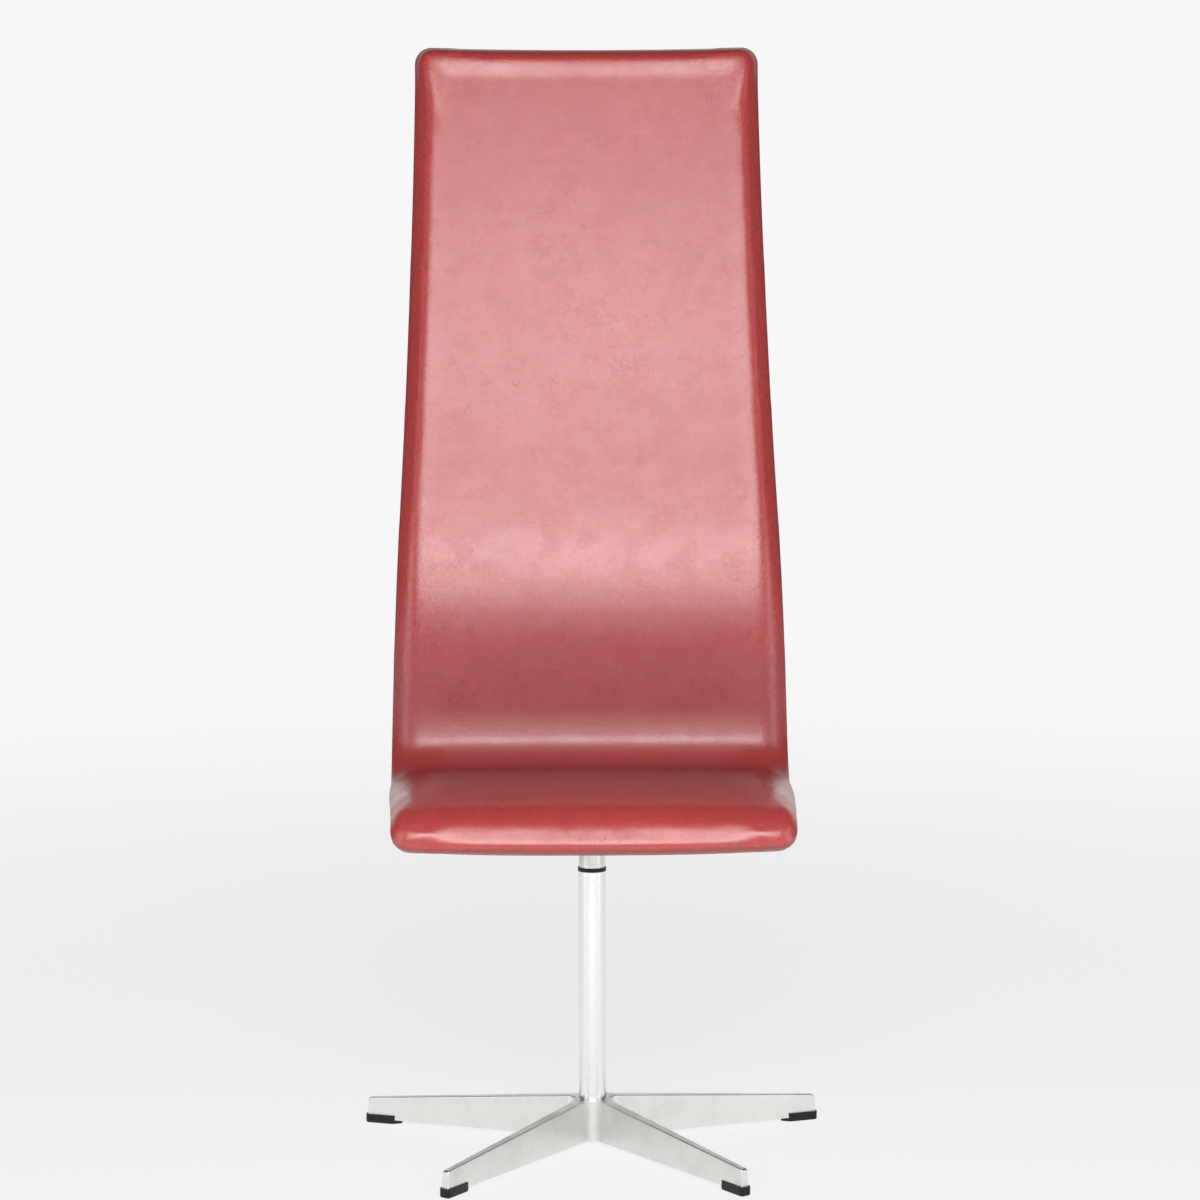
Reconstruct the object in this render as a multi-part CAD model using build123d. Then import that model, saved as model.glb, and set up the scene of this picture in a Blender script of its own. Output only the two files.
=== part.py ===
from build123d import *
from math import ceil, cos, radians, sin, tan
import os

# Swivel chair: a tall one-piece upholstered shell turns on a column over a star base.
# Millimetres and degrees. The column stands on the Z axis, the floor is Z = 0, and the
# sitter faces -Y.

# Side line of the shell: the middle of its thickness, from the column axis outwards
seat_height = 400.0
seat_pitch = 3.0
seat_front_run = 176.0
nose_radius = 40.0
nose_turn = 45.0
nose_lip_run = 28.0
seat_rear_run = 112.0
heel_radius = 54.5
heel_turn = 82.0
heel_ease_radius = 220.0
heel_ease_turn = 10.0
lower_back_run = 76.5
waist_radius = 458.0
waist_turn = 17.0
upper_back_run = 80.0
shoulder_radius = 2000.0
shoulder_turn = 3.5
top_radius = 15100.0
top_turn = 1.5

# Outline of the shell, laid flat: pairs are share of the way, share of the widening
nose_width = 433.0
hip_width = 469.0
top_width = 416.0
hip_place_share = 0.75
nose_to_hip_shares = ((0, 0), (0.11, 0.06), (0.33, 0.36), (0.58, 0.7), (0.8, 0.87), (1, 1))
hip_to_top_shares = ((0, 0), (0.1, 0.075), (0.25, 0.26), (0.5, 0.6), (0.75, 0.865), (0.92, 0.98), (1, 1))
corner_radius = 28.0
nose_bow = 6.0
top_dip = 3.0

# Layers of the shell, front face to rear face
leather_thickness = 1.4
front_foam_thickness = 18.0
ply_thickness = 10.0
rear_foam_thickness = 5.2
edge_foam = 6.0
front_crown = 3.0
front_roll = 17.0
rear_roll = 13.0
seam_height = 8.0

# Largest turn and largest step between two cross-sections of the shell
station_turn = 30.0
station_step = 80.0

# Star base, its legs drafted from the sole plane upwards
leg_count = 5
leg_reach = 275.0
leg_root_width = 18.5
leg_tip_width = 10.0
leg_draft = 3.0
leg_peak = 53.2
leg_fall = 5.06
leg_tip_round = 3.5
leg_edge_round = 1.2
valley_radius = 11.5
hub_web = 6.0

# Glides
glide_sole = 4.5
glide_height = 10.0
glide_width = 14.0
glide_wall = 2.0
glide_length = 44.0
glide_point = 10.0
glide_corner_radius = 4.0
glide_chamfer = 1.0
spigot_diameter = 6.0
spigot_length = 8.0
spigot_inset = 17.0

# Column and its fastening to the base
column_diameter = 32.0
column_bore = 24.0
bush_seat_bore = 26.0
plug_length = 30.0
base_bolt_diameter = 10.0
base_bolt_length = 32.0
base_bolt_head_width = 17.0
base_bolt_head_height = 6.4
base_washer_diameter = 21.0
base_washer_thickness = 2.0
head_recess_depth = 9.0
head_recess_margin = 1.5

# Spindle, bushes and what keeps the spindle down
spindle_diameter = 22.0
spindle_reach = 163.0
spindle_grip = 56.0
spindle_chamfer = 1.0
upper_bush_length = 25.0
lower_bush_length = 25.0
bush_flange_thickness = 4.4
bush_flange_overhang = 0.25
ring_inset = 16.0
ring_thickness = 1.2
ring_diameter = 25.2
ring_groove_depth = 0.8
ring_opening = 40.0
spindle_washer_thickness = 1.5
spindle_play = 0.3

# Seat spider
spider_height = 64.0
sleeve_diameter = 30.0
sleeve_length = 28.0
hub_diameter = 44.0
hub_cone_length = 12.0
boss_diameter = 22.0
boss_spacing_across = 130.0
boss_spacing_along = 110.0
arm_tip_diameter = 20.0
arm_thickness = 8.0
rib_depth = 24.0
rib_thickness = 6.0
grub_diameter = 8.0
grub_length = 9.0
grub_height = 49.0
grub_socket_width = 4.0
grub_socket_depth = 4.0

# Screws through the spider into the inserts in the plywood
screw_diameter = 6.0
screw_head_diameter = 11.0
screw_head_height = 4.0
screw_socket_width = 4.0
screw_socket_depth = 2.5
screw_tip_gap = 2.0
screw_washer_diameter = 14.0
screw_washer_thickness = 1.5
insert_wall = 1.0
insert_flange_diameter = 18.0
insert_flange_thickness = 1.5
insert_end_gap = 0.5

# Clearances, and how far a cutting tool runs past what it cuts
fit_gap = 0.05
soft_gap = 0.3
layer_gap = 0.5
overrun = 5.0

# Heights and levels that follow from the sizes above
shell_thickness = 2 * leather_thickness + front_foam_thickness + ply_thickness + rear_foam_thickness
outer_level = shell_thickness / 2
ply_rear_level = leather_thickness + rear_foam_thickness - outer_level
ply_front_level = ply_rear_level + ply_thickness
seam_level = seam_height - outer_level
spider_level = -outer_level - soft_gap
arm_low_level = spider_level - arm_thickness
sleeve_low = seat_height + spider_level / cos(radians(seat_pitch)) - spider_height
column_top = sleeve_low - bush_flange_thickness
spindle_low = column_top - spindle_reach
spindle_high = sleeve_low + spindle_grip
ring_low = spindle_low + ring_inset
spindle_washer_low = ring_low + ring_thickness
lower_bush_low = spindle_washer_low + spindle_washer_thickness + spindle_play
lower_bush_high = lower_bush_low + lower_bush_length
web_low = glide_sole + head_recess_depth
web_high = web_low + hub_web
glide_reach = leg_reach + glide_wall
leg_angles = [(leg + 0.5) * 360 / leg_count - 90 for leg in range(leg_count)]


def arc_length(radius, turn):
    return radius * radians(turn)


# Runs of the side line, each a length and the turn of its tangent on the way out
front_runs = (
    (seat_front_run, 0),
    (arc_length(nose_radius, nose_turn), nose_turn),
    (nose_lip_run, 0),
)
rear_runs = (
    (seat_rear_run, 0),
    (arc_length(heel_radius, heel_turn), heel_turn),
    (arc_length(heel_ease_radius, heel_ease_turn), heel_ease_turn),
    (lower_back_run, 0),
    (arc_length(waist_radius, waist_turn), -waist_turn),
    (upper_back_run, 0),
    (arc_length(shoulder_radius, shoulder_turn), shoulder_turn),
    (arc_length(top_radius, top_turn), top_turn),
)
nose_end = -sum(length for length, turn in front_runs)
top_end = sum(length for length, turn in rear_runs)
hip_place = seat_rear_run + hip_place_share * arc_length(heel_radius, heel_turn)


def side_line(place):
    """Y, Z and tangent angle of the side line, place being the distance from the column axis."""
    sense = -1 if place < 0 else 1
    left = abs(place)
    y, z, angle = 0, seat_height, radians(-seat_pitch)
    for length, turn in front_runs if place < 0 else rear_runs:
        step = min(left, length)
        bend = radians(turn) * step / length
        chord = step * (sin(bend / 2) / (bend / 2) if bend else 1)
        y += sense * chord * cos(angle + bend / 2)
        z += sense * chord * sin(angle + bend / 2)
        angle += bend
        left -= step
    return y + sense * left * cos(angle), z + sense * left * sin(angle), angle


def side_point(place, level):
    """A point of the side view, level being the height over the side line towards the sitter."""
    y, z, angle = side_line(place)
    return y - level * sin(angle), z + level * cos(angle)


def side_plane(place):
    """Plane across the shell: X across the chair, Y towards the sitter."""
    y, z, angle = side_line(place)
    return Plane(origin=(0, y, z), x_dir=(1, 0, 0), z_dir=(0, -cos(angle), -sin(angle)))


def face_plane(place):
    """Plane in the shell: X across the chair, Y along the side line, Z towards the sitter."""
    y, z, angle = side_line(place)
    return Plane(origin=(0, y, z), x_dir=(1, 0, 0), z_dir=(0, -sin(angle), cos(angle)))


def eased(shares, place):
    """Smooth curve through a table of shares, level at both its ends."""
    slopes = [0]
    for before, after in zip(shares, shares[2:]):
        slopes.append((after[1] - before[1]) / (after[0] - before[0]))
    slopes.append(0)
    row = max(i for i in range(len(shares) - 1) if shares[i][0] <= place or i == 0)
    start, end = shares[row], shares[row + 1]
    span = end[0] - start[0]
    t = min(max((place - start[0]) / span, 0), 1)
    rise = (3 - 2 * t) * t**2
    return (
        start[1] * (1 - rise)
        + end[1] * rise
        + slopes[row] * span * t * (1 - t) ** 2
        - slopes[row + 1] * span * t**2 * (1 - t)
    )


def shell_width(place):
    if place < hip_place:
        share = eased(nose_to_hip_shares, (place - nose_end) / (hip_place - nose_end))
        return nose_width + (hip_width - nose_width) * share
    share = eased(hip_to_top_shares, (place - hip_place) / (top_end - hip_place))
    return hip_width + (top_width - hip_width) * share


def run_places(runs, sense):
    """Ends of the runs and the stations between them, without the column axis."""
    places = []
    start = 0
    for length, turn in runs:
        steps = max(ceil(abs(turn) / station_turn), ceil(length / station_step))
        places += [sense * (start + length * (i + 1) / steps) for i in range(steps)]
        start += length
    return places


def shell_section(place, side_inset, face_inset):
    half = shell_width(place) / 2 - side_inset
    high = outer_level - face_inset
    with BuildSketch(side_plane(place)) as section:
        with BuildLine():
            ThreePointArc((-half, high - front_crown), (0, high), (half, high - front_crown))
            Polyline((half, high - front_crown), (half, -high), (-half, -high), (-half, high - front_crown))
        make_face()
    return section.sketch


def end_cutter(place, sense, bow, inset):
    """Tool that cuts an end of the shell along a flat arc, bow being how far its middle stands out."""
    reach = hip_width
    middle = bow / 2 - inset
    side = middle - bow * (2 * reach / shell_width(place)) ** 2
    far = overrun * 4
    with BuildSketch(face_plane(place)) as outline:
        with BuildLine():
            ThreePointArc((-reach, sense * side), (0, sense * middle), (reach, sense * side))
            Polyline((reach, sense * side), (reach, sense * far), (-reach, sense * far), (-reach, sense * side))
        make_face()
    return extrude(outline.sketch, amount=shell_thickness, both=True)


def blank(side_inset, face_inset):
    """The shell with rounded corners and sharp edges, drawn in at its sides and ends, and at its faces."""
    lead = overrun * 2
    places = [nose_end - lead, 0, top_end + lead, *run_places(front_runs, -1), *run_places(rear_runs, 1)]
    body = loft([shell_section(place, side_inset, face_inset) for place in sorted(places)])
    body -= end_cutter(nose_end, -1, nose_bow, side_inset)
    body -= end_cutter(top_end, 1, -top_dip, side_inset)
    corners = body.edges().filter_by(lambda e: e.length < 2 * shell_thickness)
    return fillet(corners, corner_radius - side_inset)


def pad(inset):
    """The upholstered shell with rolled edges, drawn in by inset on every side."""
    body = blank(inset, inset)
    towards_sitter = Axis((0, 0, 0), (0, -1, 1))
    for side, roll in ((-1, front_roll), (0, rear_roll)):
        faces = body.faces().sort_by(SortBy.AREA)[-2:].sort_by(towards_sitter)
        body = fillet(faces[side].edges(), roll - inset)
    return body


def layer_line(level):
    """The side line's lines and arcs at one level, and the two ends of it."""
    lead = overrun * 4
    last = nose_end - lead
    points = [side_point(last, level)]
    for length, turn in ((lead, 0), *front_runs[::-1], *rear_runs, (lead, 0)):
        first, last = last, last + length
        points.append(side_point(last, level))
        if turn:
            ThreePointArc(points[-2], side_point((first + last) / 2, level), points[-1])
        else:
            Line(points[-2], points[-1])
    return points[0], points[-1]


def layer(low, high):
    """Everything between two levels of the side view, wider than the shell and past its ends."""
    with BuildSketch(Plane.YZ) as outline:
        with BuildLine():
            for low_end, high_end in zip(layer_line(low), layer_line(high)):
                Line(low_end, high_end)
        make_face()
    return extrude(outline.sketch, amount=hip_width, both=True)


def upright(diameter, low, high):
    """Round bar on the column axis between two heights."""
    return Pos(0, 0, low) * Cylinder(diameter / 2, high - low, align=(Align.CENTER, Align.CENTER, Align.MIN))


def hexagon(width, low, high):
    """Hexagonal bar on the column axis, width across its flats."""
    return extrude(Plane.XY.offset(low) * RegularPolygon(width / 2, 6, major_radius=False), amount=high - low)


def at_screws(piece):
    """Copies of an upright piece on the four screw axes, its heights being levels of the seat."""
    across, along = boss_spacing_across / 2, boss_spacing_along / 2
    places = [(x, y, 0) for x in (-across, across) for y in (-along, along)]
    return [face_plane(0).location * Pos(place) * piece for place in places]


def seat_posts(diameter, low, high):
    return Part() + at_screws(upright(diameter, low, high))


def make_shell():
    skin = pad(0) - pad(leather_thickness)
    core = pad(leather_thickness + layer_gap)
    ply_inset = leather_thickness + edge_foam
    ply = blank(ply_inset, 0) & layer(ply_rear_level, ply_front_level)
    ply_room = blank(ply_inset - layer_gap, 0) & layer(ply_rear_level - layer_gap, ply_front_level + layer_gap)
    boss_holes = seat_posts(boss_diameter + 2 * soft_gap, -shell_thickness, ply_rear_level)
    barrel = screw_diameter + 2 * (insert_wall + fit_gap)
    flange = insert_flange_diameter + 2 * fit_gap
    insert_holes = seat_posts(barrel, ply_rear_level - overrun, ply_front_level)
    insert_holes += seat_posts(flange, ply_front_level - insert_flange_thickness, ply_front_level + overrun)
    return {
        "leather_front": skin - layer(-shell_thickness, seam_level),
        "leather_rear": (skin & layer(-shell_thickness, seam_level - layer_gap)) - boss_holes,
        "foam_front": core - layer(-shell_thickness, ply_rear_level) - ply_room,
        "foam_rear": (core & layer(-shell_thickness, ply_rear_level - layer_gap)) - boss_holes,
        "plywood_shell": ply - insert_holes,
    }


def radius_of(shape):
    return Vector(shape.center().X, shape.center().Y, 0).length


def is_flank(face):
    """True for the long sides of the legs and the valleys between them."""
    normal = face.normal_at()
    steep = abs(normal.Z) < sin(radians(2 * leg_draft))
    faces_out = normal.dot(Vector(face.center().X, face.center().Y, 0).normalized()) > cos(radians(2 * leg_draft))
    return steep and not (faces_out and radius_of(face) > leg_reach / 2)


def rim_edges(star):
    """Edges round the tops and the tips of the legs."""
    flanks = star.faces().filter_by(is_flank)
    upper = star.edges().filter_by(lambda e: e.center().Z > glide_sole + fit_gap)
    return upper.filter_by(lambda e: sum(e in face.edges() for face in flanks) == 1)


def star_outline():
    half_root, half_tip = leg_root_width / 2, leg_tip_width / 2
    leg = make_face(
        Polyline((0, -half_root), (leg_reach, -half_tip), (leg_reach, half_tip), (0, half_root), close=True)
    )
    outline = Sketch() + [Rot(0, 0, angle) * leg for angle in leg_angles]
    inner = outline.vertices().filter_by(lambda v: Vector(v.X, v.Y, 0).length < leg_root_width)
    return fillet(inner, valley_radius)


def make_star_base():
    star = extrude(Plane.XY.offset(glide_sole) * star_outline(), amount=leg_peak, taper=leg_draft)
    far = leg_reach + overrun
    far_height = leg_peak - far * tan(radians(leg_fall))
    above = Polyline((0, leg_peak), (far, far_height), (far, leg_peak * 2), (0, leg_peak * 2), close=True)
    star -= Rot(0, 0, leg_angles[leg_count // 2]) * revolve(Plane.XZ * make_face(above), Axis.Z)
    tips = star.edges().filter_by(lambda e: radius_of(e) > leg_reach - leg_tip_width and e.center().Z > web_high)
    star = fillet(tips, leg_tip_round)
    star = fillet(rim_edges(star), leg_edge_round)
    star -= upright(column_diameter + 2 * fit_gap, web_high, leg_peak)
    star -= upright(base_bolt_diameter + 2 * fit_gap, 0, leg_peak)
    star -= upright(base_washer_diameter + 2 * head_recess_margin, 0, web_low)
    hole = upright(spigot_diameter + 2 * fit_gap, 0, glide_sole + spigot_length + soft_gap)
    for angle in leg_angles:
        star -= Rot(0, 0, angle) * Pos(leg_reach - spigot_inset, 0, 0) * hole
    return star


def make_glide(star):
    """Glide on the leg along +X: a sole with a low wall round the leg's tip and a spigot."""
    inner = glide_reach - glide_length
    half = glide_width / 2
    outline = make_face(
        Polyline(
            (inner, 0), (inner + glide_point, -half), (glide_reach, -half), (glide_reach, half),
            (inner + glide_point, half), close=True
        )
    )
    outline = fillet(outline.vertices().group_by(Axis.X)[-1], glide_corner_radius)
    glide = extrude(outline, amount=glide_height)
    glide = chamfer(glide.faces().sort_by(Axis.Z)[0].edges(), glide_chamfer)
    glide -= star
    glide += Pos(leg_reach - spigot_inset, 0, 0) * upright(spigot_diameter, 0, glide_sole + spigot_length)
    return glide


def make_glides(star):
    glide = make_glide(Rot(0, 0, -leg_angles[0]) * star)
    return {f"glide_{leg + 1}": Rot(0, 0, angle) * glide for leg, angle in enumerate(leg_angles)}


def make_column_tube():
    tube = upright(column_diameter, web_high, column_top) - upright(column_bore, 0, seat_height)
    tube -= upright(bush_seat_bore, web_high, lower_bush_high)
    return tube - upright(bush_seat_bore, column_top - upper_bush_length - soft_gap, column_top)


def make_column_plug():
    plug = upright(bush_seat_bore - 2 * fit_gap, web_high, web_high + plug_length)
    return plug - upright(base_bolt_diameter + 2 * fit_gap, web_high, web_high + plug_length)


def make_base_washer():
    low = web_low - base_washer_thickness
    washer = upright(base_washer_diameter, low, web_low)
    return washer - upright(base_bolt_diameter + 2 * fit_gap, low, web_low)


def make_base_bolt():
    head_top = web_low - base_washer_thickness
    head = hexagon(base_bolt_head_width, head_top - base_bolt_head_height, head_top)
    return head + upright(base_bolt_diameter, head_top - fit_gap, head_top + base_bolt_length)


def bush(low, high):
    bore = upright(spindle_diameter + 2 * fit_gap, low - overrun, high + overrun)
    return upright(bush_seat_bore - 2 * fit_gap, low, high) - bore


def make_upper_bush():
    flange = upright(column_diameter + 2 * bush_flange_overhang, column_top, sleeve_low)
    flange -= upright(spindle_diameter + 2 * fit_gap, column_top, sleeve_low)
    return bush(column_top - upper_bush_length, sleeve_low) + flange


def make_spindle():
    spindle = upright(spindle_diameter, spindle_low, spindle_high)
    spindle = chamfer(spindle.edges().filter_by(GeomType.CIRCLE), spindle_chamfer)
    groove = upright(spindle_diameter + overrun, ring_low, ring_low + ring_thickness)
    return spindle - (groove - upright(spindle_diameter - 2 * ring_groove_depth, spindle_low, spindle_high))


def make_retaining_ring():
    high = ring_low + ring_thickness
    ring = upright(ring_diameter, ring_low, high)
    ring -= upright(spindle_diameter - 2 * ring_groove_depth + 2 * fit_gap, ring_low, high)
    half_gap = ring_diameter * tan(radians(ring_opening / 2))
    gap = make_face(Polyline((0, 0), (ring_diameter, -half_gap), (ring_diameter, half_gap), close=True))
    return ring - extrude(Plane.XY.offset(ring_low) * gap, amount=ring_thickness)


def make_spindle_washer():
    high = spindle_washer_low + spindle_washer_thickness
    washer = upright(ring_diameter, spindle_washer_low, high)
    return washer - upright(spindle_diameter + 2 * fit_gap, spindle_washer_low, high)


def spider_hub():
    """Sleeve, cone and hub, running up past the seat."""
    sleeve_high = sleeve_low + sleeve_length
    cone_high = sleeve_high + hub_cone_length
    outline = Polyline(
        (0, sleeve_low), (sleeve_diameter / 2, sleeve_low), (sleeve_diameter / 2, sleeve_high),
        (hub_diameter / 2, cone_high), (hub_diameter / 2, seat_height), (0, seat_height), close=True
    )
    return revolve(Plane.XZ * make_face(outline), Axis.Z)


def spider_arm(angle, reach):
    """Arm from the hub to one screw, with a rib under it, in the plane of the seat."""
    root = sleeve_diameter / 2
    tip = arm_tip_diameter / 2
    ends = Circle(root).edges() + (Pos(reach, 0) * Circle(tip)).edges()
    arm = extrude(Plane.XY.offset(arm_low_level) * make_hull(ends), amount=arm_thickness)
    rib = make_face(
        Polyline((0, arm_low_level), (reach - tip, arm_low_level), (0, arm_low_level - rib_depth), close=True)
    )
    arm += extrude(Plane.XZ * rib, amount=rib_thickness / 2, both=True)
    return face_plane(0).location * Rot(0, 0, angle) * arm


def grub_place():
    return Pos(spindle_diameter / 2 + fit_gap, 0, sleeve_low + grub_height) * Rot(0, 90, 0)


def make_seat_spider():
    spider = spider_hub()
    across, along = boss_spacing_across / 2, boss_spacing_along / 2
    reach = Vector(across, along, 0).length
    for corner in (Vector(across, along), Vector(-across, along), Vector(-across, -along), Vector(across, -along)):
        spider += spider_arm(Vector(1, 0, 0).get_signed_angle(corner, Vector(0, 0, 1)), reach)
    spider -= layer(spider_level, shell_thickness)
    spider += seat_posts(boss_diameter, arm_low_level, ply_rear_level)
    spider -= seat_posts(screw_diameter + 2 * fit_gap, arm_low_level - overrun, ply_rear_level)
    spider -= upright(spindle_diameter + 2 * fit_gap, 0, spindle_high + soft_gap)
    for side in (0, 180):
        hole = upright(grub_diameter + 2 * fit_gap, -spindle_diameter / 2, hub_diameter)
        spider -= Rot(0, 0, side) * grub_place() * hole
    return spider


def make_grub_screws():
    grub = upright(grub_diameter, 0, grub_length)
    grub -= hexagon(grub_socket_width, grub_length - grub_socket_depth, grub_length)
    return [Rot(0, 0, side) * grub_place() * grub for side in (0, 180)]


def make_spider_screws():
    head_high = arm_low_level - screw_washer_thickness
    screw = upright(screw_head_diameter, head_high - screw_head_height, head_high)
    screw += upright(screw_diameter, head_high - fit_gap, ply_front_level - screw_tip_gap)
    socket_low = head_high - screw_head_height
    screw -= hexagon(screw_socket_width, socket_low, socket_low + screw_socket_depth)
    return at_screws(screw)


def make_screw_washers():
    low = arm_low_level - screw_washer_thickness
    washer = upright(screw_washer_diameter, low, arm_low_level)
    return at_screws(washer - upright(screw_diameter + 2 * fit_gap, low, arm_low_level))


def make_shell_inserts():
    flange_low = ply_front_level - insert_flange_thickness
    bore = screw_diameter + 2 * fit_gap
    insert = upright(bore + 2 * insert_wall - 2 * fit_gap, ply_rear_level + insert_end_gap, ply_front_level)
    insert += upright(insert_flange_diameter, flange_low, ply_front_level)
    return at_screws(insert - upright(bore, ply_rear_level, ply_front_level))


def make_chair():
    star = make_star_base()
    return {
        "star_base": star,
        **make_glides(star),
        "column_tube": make_column_tube(),
        "column_plug": make_column_plug(),
        "base_washer": make_base_washer(),
        "base_bolt": make_base_bolt(),
        "lower_bush": bush(lower_bush_low, lower_bush_high),
        "upper_bush": make_upper_bush(),
        "spindle": make_spindle(),
        "retaining_ring": make_retaining_ring(),
        "spindle_washer": make_spindle_washer(),
        "seat_spider": make_seat_spider(),
        "grub_screws": make_grub_screws(),
        "spider_screws": make_spider_screws(),
        "screw_washers": make_screw_washers(),
        "shell_inserts": make_shell_inserts(),
        **make_shell(),
    }


def main():
    os.makedirs("parts", exist_ok=True)
    for node, shape in make_chair().items():
        solids = Compound(children=shape) if isinstance(shape, list) else shape
        export_step(solids, f"parts/{node}.step")
        print(node, round(solids.volume / 1000, 2), "cm3")


if __name__ == "__main__":
    main()
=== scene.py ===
from math import cos, hypot, radians, sin, sqrt

import bmesh
import bpy
from mathutils import Matrix, Vector


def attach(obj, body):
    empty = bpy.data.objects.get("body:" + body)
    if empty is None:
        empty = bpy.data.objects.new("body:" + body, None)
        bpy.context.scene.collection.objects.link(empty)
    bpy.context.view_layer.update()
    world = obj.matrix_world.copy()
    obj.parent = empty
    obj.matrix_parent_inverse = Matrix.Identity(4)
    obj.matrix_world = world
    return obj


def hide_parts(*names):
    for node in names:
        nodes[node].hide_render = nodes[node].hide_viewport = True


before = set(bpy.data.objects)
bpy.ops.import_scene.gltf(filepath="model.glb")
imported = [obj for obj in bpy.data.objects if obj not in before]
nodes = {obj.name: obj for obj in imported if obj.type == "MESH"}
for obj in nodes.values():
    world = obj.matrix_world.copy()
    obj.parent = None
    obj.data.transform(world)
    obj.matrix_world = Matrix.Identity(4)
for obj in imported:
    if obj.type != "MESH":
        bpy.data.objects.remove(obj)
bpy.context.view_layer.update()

print("frame loaded:", len(nodes), "nodes")


def arcRun(radius, turn):
    return radius * radians(turn)


def smoothStep(low, high, value):
    t = min(max((value - low) / (high - low), 0), 1)
    return t * t * (3 - 2 * t)


def newObject(name, bm, material, smooth=True):
    mesh = bpy.data.meshes.new(name)
    bm.to_mesh(mesh)
    bm.free()
    obj = bpy.data.objects.new(name, mesh)
    bpy.context.scene.collection.objects.link(obj)
    if material:
        mesh.materials.append(material)
    mesh.polygons.foreach_set("use_smooth", [smooth] * len(mesh.polygons))
    return obj


# applies every modifier by taking the evaluated mesh
def bakeModifiers(obj):
    depsgraph = bpy.context.evaluated_depsgraph_get()
    mesh = bpy.data.meshes.new_from_object(obj.evaluated_get(depsgraph))
    obj.modifiers.clear()
    old = obj.data
    obj.data = mesh
    bpy.data.meshes.remove(old)
    return obj


# The shell's side line and its outline: the CAD's, with a rounder heel, a softer nose and tighter corners.
# Each run of the line has a length and a turn in degrees, counted from the column axis.
seatStraight = 0.1068
heelTurn = 82
heelArc = arcRun(0.0595, heelTurn)
sideLine = {
    "seatHeight": 0.400,
    "seatPitch": 3.0,
    "frontRuns": ((0.105, 0), (arcRun(0.45, 9.5), 9.5), (arcRun(0.038, 35.5), 35.5), (0.021, 0)),
    "rearRuns": (
        (seatStraight, 0),
        (heelArc, heelTurn),
        (arcRun(0.220, 10), 10),
        (0.0722, 0),
        (arcRun(0.458, 17), -17),
        (0.080, 0),
        (arcRun(2.0, 3.5), 3.5),
        (arcRun(15.1, 1.5), 1.5),
    ),
}
shell = {
    "noseWidth": 0.433,
    "hipWidth": 0.469,              # the widest, three quarters round the heel
    "topWidth": 0.416,
    "hipPlace": seatStraight + 0.75 * heelArc,
    "noseToHipShares": ((0, 0), (0.11, 0.06), (0.33, 0.36), (0.58, 0.7), (0.8, 0.87), (1, 1)),
    "hipToTopShares": (
        (0, 0), (0.1, 0.075), (0.25, 0.26), (0.5, 0.6), (0.75, 0.865), (0.92, 0.98), (1, 1),
    ),
    "corner": 0.021,
    "noseBow": 0.006,
    "topDip": 0.003,
    "bowLevel": 0.5,                # the share of the bow that lies outside the straight end
    "bowRun": (0.02, 0.09),         # it fades this far from the end
    "half": 0.018,                  # half the thickness of the upholstered shell
    "rearRoll": 0.013,
    "frontRoll": 0.012,
    "seamLevel": -0.010,            # where front and rear leather meet
}
noseEnd = -sum(length for length, turn in sideLine["frontRuns"])
topEnd = sum(length for length, turn in sideLine["rearRuns"])


# y, z and tangent angle of the side line, place being the distance from the column axis
def sideAt(place):
    sense = -1 if place < 0 else 1
    left = abs(place)
    y, z, angle = 0.0, sideLine["seatHeight"], radians(-sideLine["seatPitch"])
    for length, turn in sideLine["frontRuns"] if place < 0 else sideLine["rearRuns"]:
        step = min(left, length)
        bend = radians(turn) * step / length
        chord = step * (sin(bend / 2) / (bend / 2) if bend else 1)
        y += sense * chord * cos(angle + bend / 2)
        z += sense * chord * sin(angle + bend / 2)
        angle += bend
        left -= step
    return y + sense * left * cos(angle), z + sense * left * sin(angle), angle


# a point of the flat blank (across, place, level) on the bent shell
def bent(co):
    y, z, angle = sideAt(co.y)
    return Vector((co.x, y - co.z * sin(angle), z + co.z * cos(angle)))


# a smooth curve through pairs of shares, flat at both ends
def eased(shares, place):
    slopes = [0]
    for before, after in zip(shares, shares[2:]):
        slopes.append((after[1] - before[1]) / (after[0] - before[0]))
    slopes.append(0)
    row = max(i for i in range(len(shares) - 1) if shares[i][0] <= place or i == 0)
    start, end = shares[row], shares[row + 1]
    span = end[0] - start[0]
    t = min(max((place - start[0]) / span, 0), 1)
    rise = (3 - 2 * t) * t**2
    return (
        start[1] * (1 - rise) + end[1] * rise
        + slopes[row] * span * t * (1 - t) ** 2 - slopes[row + 1] * span * t**2 * (1 - t)
    )


def shellWidth(place):
    hip = shell["hipPlace"]
    if place < hip:
        share = eased(shell["noseToHipShares"], (place - noseEnd) / (hip - noseEnd))
        return shell["noseWidth"] + (shell["hipWidth"] - shell["noseWidth"]) * share
    share = eased(shell["hipToTopShares"], (place - hip) / (topEnd - hip))
    return shell["hipWidth"] + (shell["topWidth"] - shell["hipWidth"]) * share


# how far the nose bows out and the top dips in, across the width
def endBow(x, place):
    outward = shell["bowLevel"] - (2 * x / shellWidth(place)) ** 2
    if place < (noseEnd + topEnd) / 2:
        return -shell["noseBow"] * outward * (1 - smoothStep(*shell["bowRun"], place - noseEnd))
    return -shell["topDip"] * outward * (1 - smoothStep(*shell["bowRun"], topEnd - place))


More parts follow.
